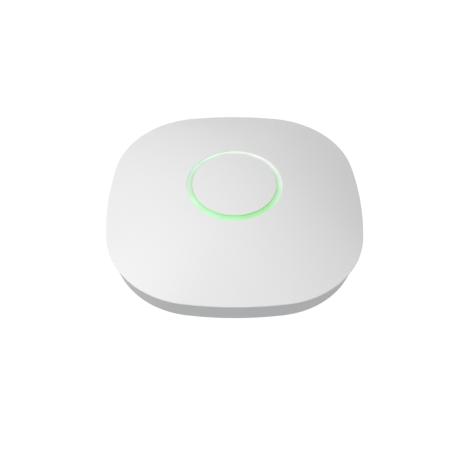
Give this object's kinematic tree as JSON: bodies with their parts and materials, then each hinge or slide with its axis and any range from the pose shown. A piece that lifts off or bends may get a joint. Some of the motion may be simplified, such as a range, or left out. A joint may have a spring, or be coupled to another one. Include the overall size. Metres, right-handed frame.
{
  "type": "ceiling access point",
  "caption": "Square dome-shaped ceiling wireless access point with rounded corners, a lit ring round its centre cap, a tapered rear tray and a twist-lock steel ceiling bracket.",
  "frame": {"origin": "centre of the bracket's flat mounting face, which is the lowest plane of the part", "axes": "+Z away from the ceiling and out through the middle of the dome, +Y towards the port bay and the cable door"},
  "size_m": [0.205, 0.205, 0.046],
  "materials": {
    "cover_white": "satin white moulded plastic, fine even texture",
    "housing_white": "satin light grey-white moulded plastic",
    "ring_diffuser": "milky translucent plastic, lit green from below",
    "inner_white_plastic": "plain white moulded plastic",
    "circuit_board": "green solder mask",
    "led_lens": "clear lens over yellow-green phosphor",
    "screw_steel": "zinc plated",
    "bracket_steel": "galvanised sheet",
    "stud_steel": "turned and zinc plated",
    "tinned_steel": "bright tin plate",
    "chip_epoxy": "matt black moulding compound",
    "thermal_pad": "soft blue-grey silicone",
    "cast_aluminium": "bead-blasted casting",
    "ferrite": "dark grey sintered ferrite",
    "copper_winding": "enamelled copper under clear tape",
    "capacitor_can": "bright drawn can with a dark band",
    "black_plastic": "black glass-filled moulding",
    "gold_contact": "gold flash over nickel",
    "button_grey": "dark grey moulded plastic",
    "antenna_brass": "nickel-silver sheet",
    "lead_sleeve": "thin black coaxial jacket",
    "connector_nylon": "natural nylon",
    "ribbon_film": "off-white flat cable jacket",
    "label_film": "blank silver-grey film"
  },
  "bodies": {
    "bracket": {"mounting_bracket": "bracket_steel", "bracket_studs": "stud_steel"},
    "housing": {"front_cover": "cover_white", "centre_cap": "cover_white", "light_ring": "ring_diffuser", "ring_carrier": "inner_white_plastic", "led_board": "circuit_board", "ring_leds": "led_lens", "ring_screws": "screw_steel", "rear_housing": "housing_white", "rating_label": "label_film", "housing_screws": "screw_steel", "main_board": "circuit_board", "board_screws": "screw_steel", "shield_cans": "tinned_steel", "processors": "chip_epoxy", "thermal_pads": "thermal_pad", "heat_sink": "cast_aluminium", "memory_chips": "chip_epoxy", "transformer_core": "ferrite", "transformer_winding": "copper_winding", "power_inductors": "ferrite", "power_capacitors": "capacitor_can", "jack_shells": "tinned_steel", "jack_inserts": "black_plastic", "jack_contacts": "gold_contact", "reset_switch": "black_plastic", "antenna_carriers": "black_plastic", "antenna_screws": "screw_steel", "antennas": "antenna_brass", "antenna_leads": "lead_sleeve", "antenna_connectors": "gold_contact", "led_connectors": "connector_nylon", "led_ribbon": "ribbon_film"},
    "reset_button": {"reset_button": "button_grey"},
    "cable_door": {"cable_door": "housing_white"}
  },
  "joints": [
    {"name": "bracket_twist", "type": "hinge", "parent": "bracket", "child": "housing", "pos_m": [0, 0, 0], "axis": [0, 0, 1], "range_deg": [0, 15]},
    {"name": "reset_press", "type": "slide", "parent": "housing", "child": "reset_button", "axis": [0, -1, 0], "range_m": [0, 0.0008], "stiffness_N_per_m": 800},
    {"name": "cable_door_pull", "type": "slide", "parent": "housing", "child": "cable_door", "axis": [0, 1, 0], "range_m": [0, 0.012]}
  ]
}
